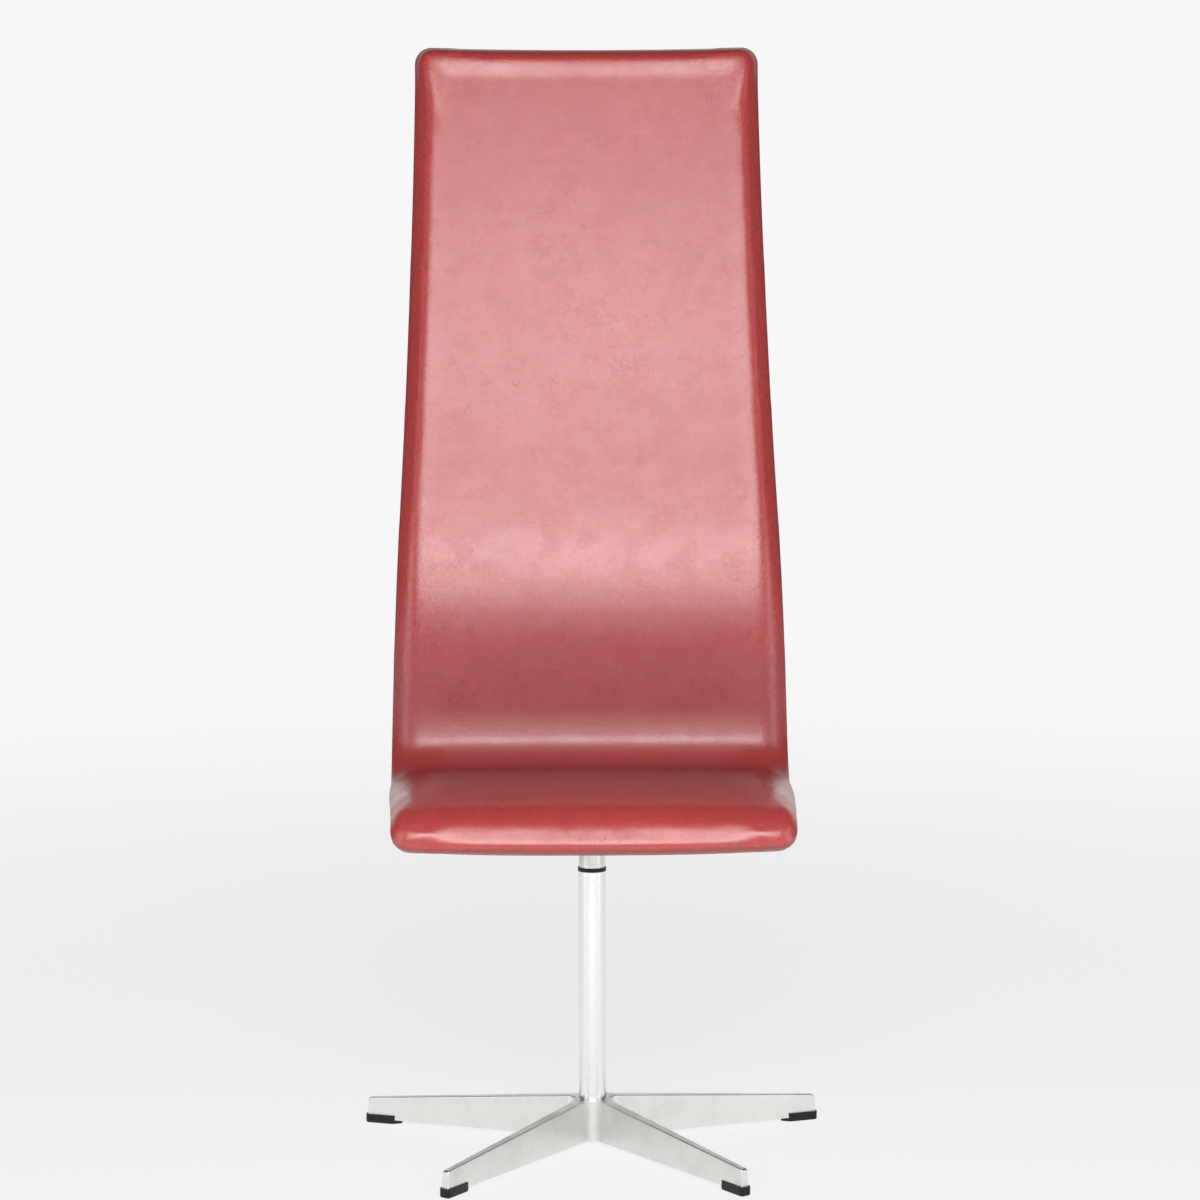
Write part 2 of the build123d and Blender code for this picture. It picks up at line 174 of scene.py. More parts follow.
# Leather cover: shaped flat, simulated, split at the seam, then bent.
# Runs are pairs of places or distances over which something sets in or fades.
coverLook = {
    "voxel": 0.006,
    "smoothing": 0.5,
    "edgeCuts": 90,
    "cornerSteps": 10,
    "rollSteps": 8,
    "rollWide": 0.031,              # the sides of the back roll over this width
    "seatRollWide": 0.066,
    "topRollWide": 0.018,
    "noseRollWide": 0.024,
    "rollDeep": 0.0185,
    "rollEase": 2.4,                # 2 is an ellipse, more eases the roll into the face
    "rollRun": 0.012,               # above the middle, where the broad roll takes over
    "heelRun": (0.08, 0.20),        # where the seat's width of roll turns into the back's
    "noseRun": (0.08, 0.26),        # from the nose, where its width turns into the seat's
    "cornerShare": 0.35,            # the roll's width left at the corners
    "cornerRun": (0.015, 0.085),
    "diagonalRun": (0.35, 0.65),    # side and end widths blend about the corner's diagonal
    "noseFall": 0.006,              # the padding thins this much towards the nose, over this run
    "noseFallRun": 0.155,
    "noseFallPower": 1.5,
    "crown": 0.002,
    "rimRaise": 0.0028,             # the foam stands a little prouder round the back's rim
    "rimPeak": 0.014,
    "rimFade": 0.042,
    "rimRun": (0.50, 0.75),         # from the nose, where the prouder rim sets in
    "pressure": 4.0,
    "stiffness": 40,
    "bending": 2,
    "frames": 20,
    "cap": 0.0022,                  # the farthest that the simulation may move a point
    "sideEase": 0.0030,             # cut this much larger, as the simulation draws the edge in
    "noseEase": 0.0052,
    "topEase": 0.0018,
}
seamLook = {
    "lip": 0.0022,                  # the cut edge turns in this far
    "tuck": 0.0003,
    "endZone": 0.03,                # nearer than this to a side or end, the lip turns in from it
    "groove": 0.0010,
    "grooveRun": (0.0002, 0.004),
    "outwardLeast": 0.2,            # faces that look more up or down than this have no groove
    "edgeShadeRun": (0.007, 0.018),   # painted shade darkens the leather up to here from the seam
    "edgeShadeLeast": 0.2,            # its share at the seat, growing over heelRun to the back's
    "bendShade": 0.42,              # and painted shade darkens the bend of the heel and the lower back
    "bendSetsIn": (-0.14, 0.11),
    "bendFades": (0.20, 0.42),
}


def makeBlank():
    bm = bmesh.new()
    bmesh.ops.create_grid(bm, x_segments=1, y_segments=1, size=0.5)
    bmesh.ops.scale(bm, verts=bm.verts, vec=(shell["hipWidth"], topEnd - noseEnd, 1))
    bmesh.ops.translate(bm, verts=bm.verts, vec=(0, (topEnd + noseEnd) / 2, -shell["half"]))
    bmesh.ops.bevel(bm, geom=bm.verts[:], offset=shell["corner"], offset_type="OFFSET",
                    segments=coverLook["cornerSteps"], profile=0.5, affect="VERTICES", material=-1)
    longEdges = [e for e in bm.edges if e.calc_length() > shell["topWidth"] / 2]
    bmesh.ops.subdivide_edges(bm, edges=longEdges, cuts=coverLook["edgeCuts"])
    length = topEnd - noseEnd
    for v in bm.verts:
        v.co.x *= (shellWidth(v.co.y) + 2 * coverLook["sideEase"]) / shell["hipWidth"]
        v.co.y += endBow(v.co.x, v.co.y)
        upward = (v.co.y - noseEnd) / length
        v.co.y += coverLook["topEase"] * upward - coverLook["noseEase"] * (1 - upward)
    lifted = bmesh.ops.extrude_face_region(bm, geom=bm.faces[:])["geom"]
    topVerts = [g for g in lifted if isinstance(g, bmesh.types.BMVert)]
    bmesh.ops.translate(bm, verts=topVerts, vec=(0, 0, 2 * shell["half"]))
    bmesh.ops.recalc_face_normals(bm, faces=bm.faces)
    for level, roll in ((shell["half"], shell["frontRoll"]), (-shell["half"], shell["rearRoll"])):
        rim = [e for e in bm.edges if all(abs(v.co.z - level) < 1e-5 for v in e.verts)]
        bmesh.ops.bevel(bm, geom=rim, offset=roll, offset_type="OFFSET", segments=coverLook["rollSteps"],
                        profile=0.5, affect="EDGES", clamp_overlap=False, material=-1)
    return bm


# distance in from the outline, with rounded corners
def rimDistance(x, place):
    across = shellWidth(place) / 2 - abs(x)
    bow = endBow(x, place)
    along = min(place - noseEnd - bow, topEnd + bow - place)
    qx, qy = shell["corner"] - across, shell["corner"] - along
    if qx > 0 and qy > 0:
        return shell["corner"] - hypot(qx, qy)
    return min(across, along)


def quarterDrop(wide, deep, distance, power=2.0):
    share = min(max((wide - distance) / wide, 0), 1)
    return deep * (1 - sqrt(1 - share**power))


# how far a point is from the nearest corner of the outline, along the longer way
def cornerDistance(x, place):
    return max(shellWidth(place) / 2 - abs(x), min(place - noseEnd, topEnd - place))


# width of the front roll: seat or back at the sides, nose or top at the ends, narrower at the corners
def rollWidth(x, place):
    across = max(shellWidth(place) / 2 - abs(x), 0)
    along = max(min(place - noseEnd, topEnd - place), 0)
    onBack = smoothStep(*coverLook["heelRun"], place)
    side = coverLook["seatRollWide"] * (1 - onBack) + coverLook["rollWide"] * onBack
    side += (coverLook["noseRollWide"] - side) * (1 - smoothStep(*coverLook["noseRun"], place - noseEnd))
    end = coverLook["noseRollWide"] if place < 0 else coverLook["topRollWide"]
    diagonal = across / (across + along + 1e-6)
    wide = side + (end - side) * smoothStep(*coverLook["diagonalRun"], diagonal)
    kept = coverLook["cornerShare"]
    wide *= kept + (1 - kept) * smoothStep(*coverLook["cornerRun"], cornerDistance(x, place))
    return max(wide, shell["frontRoll"])


# turns the round front roll into a broader one, with a crown, a prouder rim and a thinner nose
def shapeFront(co):
    if co.z < 0:
        return co.z
    distance = max(rimDistance(co.x, co.y), 0)
    share = smoothStep(0, coverLook["rollRun"], co.z)
    along = co.y - noseEnd
    fall = coverLook["noseFall"]
    fall *= max(1 - along / coverLook["noseFallRun"], 0) ** coverLook["noseFallPower"]
    deep = coverLook["rollDeep"] - fall
    drop = quarterDrop(rollWidth(co.x, co.y), deep, distance, coverLook["rollEase"])
    drop -= quarterDrop(shell["frontRoll"], shell["frontRoll"], distance)
    drop += fall + coverLook["crown"] * (2 * co.x / shellWidth(co.y)) ** 2
    rise = smoothStep(0, coverLook["rimPeak"], distance) * smoothStep(*coverLook["rimRun"], along)
    rise *= 1 - smoothStep(coverLook["rimPeak"], coverLook["rimFade"], distance)
    return co.z - (drop - coverLook["rimRaise"] * rise) * share


def simulatePad(pad):
    before = [v.co.copy() for v in pad.data.vertices]
    cloth = pad.modifiers.new("tension", "CLOTH")
    settings = cloth.settings
    settings.use_pressure = True
    settings.uniform_pressure_force = coverLook["pressure"]
    settings.effector_weights.gravity = 0
    settings.tension_stiffness = settings.compression_stiffness = coverLook["stiffness"]
    settings.bending_stiffness = coverLook["bending"]
    cloth.collision_settings.use_collision = False
    for step in range(1, coverLook["frames"] + 1):
        bpy.context.scene.frame_set(step)
    bakeModifiers(pad)
    bpy.context.scene.frame_set(1)
    for v, start in zip(pad.data.vertices, before):
        move = v.co - start
        if move.length > coverLook["cap"]:
            v.co = start + move * (coverLook["cap"] / move.length)
    return pad


def makePad():
    pad = newObject("padBlank", makeBlank(), None)
    remesh = pad.modifiers.new("remesh", "REMESH")
    remesh.mode = "VOXEL"
    remesh.voxel_size = coverLook["voxel"]
    bakeModifiers(pad)
    bm = bmesh.new()
    bm.from_mesh(pad.data)
    bmesh.ops.smooth_vert(bm, verts=bm.verts, factor=coverLook["smoothing"], use_axis_x=True,
                          use_axis_y=True, use_axis_z=True)
    for v in bm.verts:
        v.co.z = shapeFront(v.co)
    bm.to_mesh(pad.data)
    bm.free()
    simulatePad(pad)
    refine = pad.modifiers.new("refine", "SUBSURF")
    refine.levels = refine.render_levels = 1
    return bakeModifiers(pad)


# which way the cut edge turns in: from the side, the end or both
def lipDirection(co):
    zone = seamLook["endZone"]
    inward = Vector((-co.x, 0, 0)) if abs(co.x) > shellWidth(co.y) / 2 - zone else Vector()
    if co.y > topEnd - zone:
        inward += Vector((0, -1, 0)) * abs(co.x if inward.length else 1)
    if co.y < noseEnd + zone:
        inward += Vector((0, 1, 0)) * abs(co.x if inward.length else 1)
    return inward.normalized()


# how much painted shade darkens the leather at a point of the flat pad
def paintedShadeAt(co):
    least = seamLook["edgeShadeLeast"]
    # painted shade along the seam, weaker on the seat
    edge = 1 - smoothStep(*seamLook["edgeShadeRun"], abs(co.z - shell["seamLevel"]))
    edge *= least + (1 - least) * smoothStep(*coverLook["heelRun"], co.y)
    # painted shade in the bend of the heel and the lower back
    bend = smoothStep(*seamLook["bendSetsIn"], co.y) * (1 - smoothStep(*seamLook["bendFades"], co.y))
    return max(edge, seamLook["bendShade"] * bend)


# one half of the pad, cut at the seam, its edge turned in, then bent to the side line
def splitCover(name, pad, front, material):
    bm = bmesh.new()
    bm.from_mesh(pad.data)
    level = shell["seamLevel"]
    bmesh.ops.bisect_plane(bm, geom=bm.verts[:] + bm.edges[:] + bm.faces[:], dist=1e-6,
                           plane_co=(0, 0, level), plane_no=(0, 0, 1), clear_inner=front,
                           clear_outer=not front)
    edge = [e for e in bm.edges if e.is_boundary]
    turned = bmesh.ops.extrude_edge_only(bm, edges=edge)["geom"]
    away = 1 if front else -1
    for v in (g for g in turned if isinstance(g, bmesh.types.BMVert)):
        v.co += lipDirection(v.co) * seamLook["lip"]
        v.co.z -= away * seamLook["tuck"]
    for v in bm.verts:
        near = 1 - smoothStep(*seamLook["grooveRun"], abs(v.co.z - level))
        direction = Vector((v.normal.x, v.normal.y, 0))
        if near > 0 and direction.length > seamLook["outwardLeast"]:
            v.co -= direction.normalized() * seamLook["groove"] * near
    # the painted shade of each point, kept for the leather as a point attribute
    paintedShade = [paintedShadeAt(v.co) for v in bm.verts]
    for v in bm.verts:
        v.co = bent(v.co)
    bmesh.ops.recalc_face_normals(bm, faces=bm.faces)
    cover = newObject(name, bm, material)
    cover.data.attributes.new("paintedShade", "FLOAT", "POINT").data.foreach_set("value", paintedShade)
    return cover


# Shader helpers
def newMaterial(name):
    material = bpy.data.materials.new(name)
    material.use_nodes = True
    tree = material.node_tree
    return material, tree, tree.nodes["Principled BSDF"]


def addNode(tree, kind, **values):
    node = tree.nodes.new(kind)
    for key, value in values.items():
        setattr(node, key, value)
    return node


# sets a socket to a number or colour, or links it to another node's output
def feed(tree, socket, value):
    if isinstance(value, bpy.types.NodeSocket):
        tree.links.new(value, socket)
    elif isinstance(value, tuple) and socket.type == "RGBA":
        socket.default_value = (*value, 1)
    else:
        socket.default_value = value


def noiseNode(tree, vector, scale, detail=2.0, roughness=0.5):
    node = addNode(tree, "ShaderNodeTexNoise")
    for name, value in (("Vector", vector), ("Scale", scale), ("Detail", detail), ("Roughness", roughness)):
        feed(tree, node.inputs[name], value)
    return node.outputs[0]


def mathNode(tree, operation, first, second=0.0):
    node = addNode(tree, "ShaderNodeMath", operation=operation)
    feed(tree, node.inputs[0], first)
    feed(tree, node.inputs[1], second)
    return node.outputs[0]


# eases from newLow to newHigh while the value goes from low to high
def rangeNode(tree, value, low, high, newLow, newHigh):
    node = addNode(tree, "ShaderNodeMapRange", clamp=True, interpolation_type="SMOOTHSTEP")
    limits = {"From Min": low, "From Max": high, "To Min": newLow, "To Max": newHigh}
    for name, number in {"Value": value, **limits}.items():
        feed(tree, node.inputs[name], number)
    return node.outputs["Result"]


def productNode(tree, first, second):
    return mathNode(tree, "MULTIPLY", first, second)


def sumNode(tree, first, second):
    return mathNode(tree, "ADD", first, second)


def splitPoint(tree, vector):
    node = addNode(tree, "ShaderNodeSeparateXYZ")
    feed(tree, node.inputs[0], vector)
    return node.outputs


def mixColour(tree, factor, first, second):
    node = addNode(tree, "ShaderNodeMix", data_type="RGBA")
    for index, value in ((0, factor), (6, first), (7, second)):
        feed(tree, node.inputs[index], value)
    return node.outputs[2]


def bumpNode(tree, height, distance, under=None):
    node = addNode(tree, "ShaderNodeBump")
    feed(tree, node.inputs["Height"], height)
    feed(tree, node.inputs["Distance"], distance)
    if under:
        feed(tree, node.inputs["Normal"], under)
    return node.outputs["Normal"]


def objectPoint(tree, scale=(1, 1, 1)):
    coords = addNode(tree, "ShaderNodeTexCoord")
    mapping = addNode(tree, "ShaderNodeMapping")
    mapping.inputs["Scale"].default_value = scale
    tree.links.new(coords.outputs["Object"], mapping.inputs["Vector"])
    return mapping.outputs["Vector"]


# Effects that several materials share, as node groups
socketTypes = {"Vector": "NodeSocketVector"}
groupLook = {
    "cloudNoise": (4.0, 0.6),       # detail and roughness of the clouds and streaks
    "streakRange": (0.3, 0.7),
    "grainDetail": 2.0,
    "finerGrain": 2.7,              # the second grain's scale, as a multiple
    "finerShare": 0.5,
}


def newGroup(name, inputs, outputs):
    group = bpy.data.node_groups.new(name, "ShaderNodeTree")
    for socketName in inputs:
        kind = socketTypes.get(socketName, "NodeSocketFloat")
        group.interface.new_socket(socketName, in_out="INPUT", socket_type=kind)
    for socketName in outputs:
        group.interface.new_socket(socketName, in_out="OUTPUT", socket_type="NodeSocketFloat")
    return group, addNode(group, "NodeGroupInput").outputs, addNode(group, "NodeGroupOutput").inputs


def makeCloudyWear():
    group, given, result = newGroup("cloudyWear", ("Vector", "Scale", "Low", "High"), ("Mask",))
    cloud = noiseNode(group, given["Vector"], given["Scale"], *groupLook["cloudNoise"])
    feed(group, result["Mask"], rangeNode(group, cloud, given["Low"], given["High"], 0.0, 1.0))
    return group


def makeBrushedStreaks():
    group, given, result = newGroup("brushedStreaks", ("Vector",), ("Height", "Mask"))
    streaks = noiseNode(group, given["Vector"], 1.0, *groupLook["cloudNoise"])
    feed(group, result["Height"], streaks)
    feed(group, result["Mask"], rangeNode(group, streaks, *groupLook["streakRange"], 0.0, 1.0))
    return group


def makeFineGrain():
    group, given, result = newGroup("fineGrain", ("Vector", "Scale"), ("Height",))
    coarse = noiseNode(group, given["Vector"], given["Scale"], groupLook["grainDetail"])
    finer = productNode(group, given["Scale"], groupLook["finerGrain"])
    fine = noiseNode(group, given["Vector"], finer, groupLook["grainDetail"])
    feed(group, result["Height"], sumNode(group, coarse, productNode(group, fine, groupLook["finerShare"])))
    return group


cloudyWear = makeCloudyWear()
brushedStreaks = makeBrushedStreaks()
fineGrain = makeFineGrain()


def groupNode(tree, group, **values):
    node = addNode(tree, "ShaderNodeGroup", node_tree=group)
    for name, value in values.items():
        feed(tree, node.inputs[name], value)
    return node.outputs


patchLook = {"fade": (0.2, 1.0), "cloud": (0.42, 0.62)}


# a soft round patch about a point of the object, broken up by noise
def patchMask(tree, centre, stretch, scale):
    point = objectPoint(tree)
    offset = addNode(tree, "ShaderNodeVectorMath", operation="SUBTRACT")
    feed(tree, offset.inputs[0], point)
    offset.inputs[1].default_value = centre
    squeeze = addNode(tree, "ShaderNodeVectorMath", operation="DIVIDE")
    feed(tree, squeeze.inputs[0], offset.outputs[0])
    squeeze.inputs[1].default_value = stretch
    length = addNode(tree, "ShaderNodeVectorMath", operation="LENGTH")
    feed(tree, length.inputs[0], squeeze.outputs[0])
    near = rangeNode(tree, length.outputs["Value"], *patchLook["fade"], 1.0, 0.0)
    low, high = patchLook["cloud"]
    cloud = groupNode(tree, cloudyWear, Vector=point, Scale=scale, Low=low, High=high)
    return productNode(tree, near, cloud["Mask"])


# Materials. Scales are per metre, and ranges are the noise values over which something sets in.
leatherLook = {
    "colour": (0.40, 0.052, 0.045),
    "dark": (0.28, 0.033, 0.034),
    # painted shade: the colour that the covers' shade attribute mixes in
    "paintedShadeColour": (0.10, 0.010, 0.014),
    "paintedShadeShare": 0.75,
    "specular": 0.65,
    "roughness": 0.23,
    "poreScale": 620.0,
    "poreGroove": 0.22,             # width of the grooves between pores, as a share of a pore
    "poreFade": 0.7,
    "poreShade": 0.5,
    "grainScale": 1500.0,
    "grainDepth": 0.00004,
    "creaseStretch": (7, 7, 60),    # creases run across the back
    "creaseNoise": (1.0, 4.0, 0.55),
    "creaseDepth": 0.00010,
    "patchScale": 6.0,
    "patchRange": (0.35, 0.7),
    "patchShade": 0.30,
    "mottleNoise": (330.0, 3.0, 0.65),
    "mottleRange": (0.40, 0.60),
    "mottleOnSeat": 0.5,            # weaker on the seat than above these heights
    "mottleHeights": (0.44, 0.50),
    "polishNoise": (30.0, 4.0, 0.6),
    "polishRange": (0.3, 0.7),
    "polish": (-0.03, 0.04),        # how far the roughness strays with it
    "mottleDulling": 0.05,          # added to the roughness in the mottling
    "mottleDullRange": (0.25, 0.75),
    # roughness added where the shade is painted
    "paintedShadeDulling": 0.10,
    "seatDulling": 0.25,            # and where people sit, inside these distances
    "seatAcross": (0.15, 0.20),
    "seatHeights": (0.428, 0.442),
    "seatFront": (-0.19, -0.14),
}


def leatherColour(tree, point, height, pores, mottle, edge):
    look = leatherLook
    low, high = look["patchRange"]
    patches = groupNode(tree, cloudyWear, Vector=point, Scale=look["patchScale"], Low=low, High=high)["Mask"]
    colour = mixColour(tree, productNode(tree, patches, look["patchShade"]), look["colour"], look["dark"])
    strength = rangeNode(tree, height, *look["mottleHeights"], look["mottleOnSeat"], 1.0)
    blotches = productNode(tree, rangeNode(tree, mottle, *look["mottleRange"], 1.0, 0.0), strength)
    colour = mixColour(tree, blotches, colour, look["dark"])
    shade = rangeNode(tree, pores, 0.0, look["poreFade"], look["poreShade"], 0.0)
    colour = mixColour(tree, shade, colour, look["dark"])
    # edge carries the painted shade along the seam and in the heel's bend
    return mixColour(tree, productNode(tree, edge, look["paintedShadeShare"]), colour, look["paintedShadeColour"])


def leatherRoughness(tree, point, place, mottle, edge):
    look = leatherLook
    low, high = (look["roughness"] + stray for stray in look["polish"])
    polish = rangeNode(tree, noiseNode(tree, point, *look["polishNoise"]), *look["polishRange"], low, high)
    mottled = rangeNode(tree, mottle, *look["mottleDullRange"], look["mottleDulling"], 0.0)
    rough = sumNode(tree, polish, mottled)
    across = mathNode(tree, "ABSOLUTE", place["X"])
    dulled = rangeNode(tree, across, *look["seatAcross"], look["seatDulling"], 0.0)
    dulled = productNode(tree, dulled, rangeNode(tree, place["Z"], *look["seatHeights"], 1.0, 0.0))
    dulled = productNode(tree, dulled, rangeNode(tree, place["Y"], *look["seatFront"], 0.0, 1.0))
    rough = sumNode(tree, rough, dulled)
    return sumNode(tree, rough, productNode(tree, edge, look["paintedShadeDulling"]))


def makeLeather(name):
    look = leatherLook
    material, tree, shader = newMaterial(name)
    point = objectPoint(tree)
    place = splitPoint(tree, point)
    cells = addNode(tree, "ShaderNodeTexVoronoi", feature="DISTANCE_TO_EDGE")
    feed(tree, cells.inputs["Scale"], look["poreScale"])
    feed(tree, cells.inputs["Vector"], point)
    pores = rangeNode(tree, cells.outputs["Distance"], 0.0, look["poreGroove"], 0.0, 1.0)
    mottle = noiseNode(tree, point, *look["mottleNoise"])
    # edge is the painted shade, read from the covers' attribute
    edge = addNode(tree, "ShaderNodeAttribute", attribute_name="paintedShade").outputs["Fac"]
    feed(tree, shader.inputs["Base Color"], leatherColour(tree, point, place["Z"], pores, mottle, edge))
    feed(tree, shader.inputs["Roughness"], leatherRoughness(tree, point, place, mottle, edge))
    creases = noiseNode(tree, objectPoint(tree, look["creaseStretch"]), *look["creaseNoise"])
    grain = sumNode(tree, pores, groupNode(tree, fineGrain, Vector=point, Scale=look["grainScale"])["Height"])
    creased = bumpNode(tree, creases, look["creaseDepth"])
    feed(tree, shader.inputs["Normal"], bumpNode(tree, grain, look["grainDepth"], creased))
    feed(tree, shader.inputs["Specular IOR Level"], look["specular"])
    return material


# Metals: stretch and depth are those of the brushed streaks, wear darkens and smudge dulls in clouds,
# and stained patches are given as centre, size and noise scale.
metalLooks = {
    "brushedCasting": {
        "colour": (0.76, 0.76, 0.74), "roughness": 0.36, "stretch": (1400, 1400, 60), "depth": 0.00008,
        "wear": 0.85, "smudge": 0.12, "stain": (0.36, 0.34, 0.31),
        "patches": (((-0.095, -0.032, 0.032), (0.035, 0.03, 0.022), 110.0),),
    },
    "satinTube": {
        "colour": (0.82, 0.82, 0.815), "roughness": 0.30, "stretch": (60, 60, 2600), "depth": 0.00002,
        "wear": 0.15, "smudge": 0.03, "stain": (0.20, 0.15, 0.11),
        "patches": (((0.0, -0.016, 0.0535), (0.04, 0.04, 0.0035), 45.0),),
    },
    "zincHardware": {
        "colour": (0.58, 0.59, 0.61), "roughness": 0.32, "stretch": (700, 700, 700), "depth": 0.00005,
        "wear": 0.6, "smudge": 0.10, "stain": (0.3, 0.3, 0.3), "patches": (),
    },
}
metalWear = {
    "scale": 24.0,
    "range": (0.38, 0.75),
    "darker": 0.84,
    "stainShare": 0.8,
    "streakDulling": 0.10,
    "streakPolish": 0.05,
}


def makeMetal(name):
    look = metalLooks[name]
    material, tree, shader = newMaterial(name)
    streaks = groupNode(tree, brushedStreaks, Vector=objectPoint(tree, look["stretch"]))
    low, high = metalWear["range"]
    point = objectPoint(tree)
    cloudy = groupNode(tree, cloudyWear, Vector=point, Scale=metalWear["scale"], Low=low, High=high)["Mask"]
    darker = tuple(metalWear["darker"] * c for c in look["colour"])
    colour = mixColour(tree, productNode(tree, cloudy, look["wear"]), look["colour"], darker)
    colour = mixColour(tree, productNode(tree, streaks["Mask"], look["wear"] / 2), colour, darker)
    for centre, stretch, scale in look["patches"]:
        stained = productNode(tree, patchMask(tree, centre, stretch, scale), metalWear["stainShare"])
        colour = mixColour(tree, stained, colour, look["stain"])
    feed(tree, shader.inputs["Base Color"], colour)
    rough = productNode(tree, streaks["Mask"], metalWear["streakDulling"])
    rough = sumNode(tree, rough, look["roughness"] - metalWear["streakPolish"])
    feed(tree, shader.inputs["Roughness"], sumNode(tree, rough, productNode(tree, cloudy, look["smudge"])))
    feed(tree, shader.inputs["Normal"], bumpNode(tree, streaks["Height"], look["depth"]))
    feed(tree, shader.inputs["Metallic"], 1.0)
    return material


# Matt materials: the worn parts show the scuffed colour, and stretch is that of the grain.
mattLooks = {
    "blackPlastic": {"colour": (0.006, 0.006, 0.007), "scuffed": (0.018, 0.018, 0.02), "roughness": 0.38,
                     "specular": 0.25, "grain": 1500.0, "depth": 0.00006, "stretch": (1, 1, 1)},
    "foam": {"colour": (0.60, 0.55, 0.42), "scuffed": (0.50, 0.44, 0.31), "roughness": 0.9,
             "specular": 0.3, "grain": 700.0, "depth": 0.0004, "stretch": (1, 1, 1)},
    "plywood": {"colour": (0.47, 0.30, 0.15), "scuffed": (0.33, 0.19, 0.09), "roughness": 0.55,
                "specular": 0.5, "grain": 60.0, "depth": 0.0001, "stretch": (12, 1, 1)},
}
mattWear = {
    "scale": 80.0,
    "range": (0.45, 0.75),
    "share": 0.6,
    "grainRange": (0.6, 0.9),
    "grainShare": 0.3,
    "dulling": 0.12,
    "polish": 0.04,
}


def makeMatt(name):
    look = mattLooks[name]
    material, tree, shader = newMaterial(name)
    point = objectPoint(tree, look["stretch"])
    grain = groupNode(tree, fineGrain, Vector=point, Scale=look["grain"])["Height"]
    low, high = mattWear["range"]
    worn = groupNode(tree, cloudyWear, Vector=point, Scale=mattWear["scale"], Low=low, High=high)["Mask"]
    colour = mixColour(tree, productNode(tree, worn, mattWear["share"]), look["colour"], look["scuffed"])
    hollows = rangeNode(tree, grain, *mattWear["grainRange"], mattWear["grainShare"], 0.0)
    feed(tree, shader.inputs["Base Color"], mixColour(tree, hollows, colour, look["scuffed"]))
    rough = productNode(tree, worn, mattWear["dulling"])
    feed(tree, shader.inputs["Roughness"], sumNode(tree, rough, look["roughness"] - mattWear["polish"]))
    feed(tree, shader.inputs["Normal"], bumpNode(tree, grain, look["depth"]))
    feed(tree, shader.inputs["Specular IOR Level"], look["specular"])
    return material


leather = makeLeather("oxbloodLeather")
nodeMaterials = {
    makeMetal("brushedCasting"): ["star_base", "seat_spider"],
    makeMetal("satinTube"): ["column_tube"],
    makeMetal("zincHardware"): [
        "column_plug", "base_washer", "base_bolt", "spindle", "retaining_ring", "spindle_washer",
        "grub_screws", "spider_screws", "screw_washers", "shell_inserts",
    ],
    makeMatt("blackPlastic"): ["upper_bush", "lower_bush", *(f"glide_{i + 1}" for i in range(5))],
    makeMatt("foam"): ["foam_front", "foam_rear"],
    makeMatt("plywood"): ["plywood_shell"],
    leather: ["leather_front", "leather_rear"],
}
for material, names in nodeMaterials.items():
    for name in names:
        nodes[name].data.materials.clear()
        nodes[name].data.materials.append(material)
print("materials placed")

# Leather pieces
pad = makePad()
print("pad shaped:", len(pad.data.polygons), "faces")
frontCover = splitCover("frontCover", pad, True, leather)
rearCover = splitCover("rearCover", pad, False, leather)
bpy.data.objects.remove(pad)
standIns = {frontCover: ("leather_front", "foam_front"), rearCover: ("leather_rear", "foam_rear")}
for piece, replaced in standIns.items():
    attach(piece, "seat")
    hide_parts(*replaced)
print("covers bent:", len(frontCover.data.polygons), len(rearCover.data.polygons))

# Stage: a pale paper floor that runs on into the backdrop, which only the camera and reflections see bright
floorLook = {
    "radius": 16.0,
    "colour": (0.83, 0.83, 0.825),
    "glow": 0.93,
    "mirrored": 1.03,       # how bright reflections see it near by, and their shares behind and in front
    "behindShare": 0.85,
    "frontShare": 0.3,
    "nearShare": 0.83,      # how much of the glow the camera sees near the chair
    "fadeRun": (0.5, 4.0),
    "behindRun": (-1.2, 0.6),
    "frontRun": (-4.0, -1.6),
    "roughness": 0.8,
    "specular": 0.1,
    "segments": 96,
}


def makeFloorPaper():
    look = floorLook
    material, tree, shader = newMaterial("paperFloor")
    shader.inputs["Base Color"].default_value = (*look["colour"], 1)
    shader.inputs["Roughness"].default_value = look["roughness"]
    shader.inputs["Specular IOR Level"].default_value = look["specular"]
    point = objectPoint(tree)
    length = addNode(tree, "ShaderNodeVectorMath", operation="LENGTH")
    feed(tree, length.inputs[0], point)
    path = addNode(tree, "ShaderNodeLightPath")
    mirrored = mathNode(tree, "MAXIMUM", path.outputs["Is Glossy Ray"], path.outputs["Is Transmission Ray"])
    glow = addNode(tree, "ShaderNodeEmission")
    glow.inputs["Color"].default_value = (1, 1, 1, 1)
    extra = productNode(tree, mirrored, look["mirrored"] - look["glow"])
    feed(tree, glow.inputs["Strength"], sumNode(tree, extra, look["glow"]))
    backdrop = rangeNode(tree, length.outputs["Value"], *look["fadeRun"], look["nearShare"], 1.0)
    seen = productNode(tree, path.outputs["Is Camera Ray"], backdrop)
    depth = splitPoint(tree, point)["Y"]
    behind = rangeNode(tree, depth, *look["behindRun"], 1.0, look["behindShare"])
    front = rangeNode(tree, depth, *look["frontRun"], look["frontShare"], 1.0)
    mirrored = productNode(tree, mirrored, productNode(tree, behind, front))
    mixer = addNode(tree, "ShaderNodeMixShader")
    feed(tree, mixer.inputs[0], mathNode(tree, "MAXIMUM", seen, mirrored))
    tree.links.new(shader.outputs[0], mixer.inputs[1])
    tree.links.new(glow.outputs[0], mixer.inputs[2])
    tree.links.new(mixer.outputs[0], tree.nodes["Material Output"].inputs["Surface"])
    return material


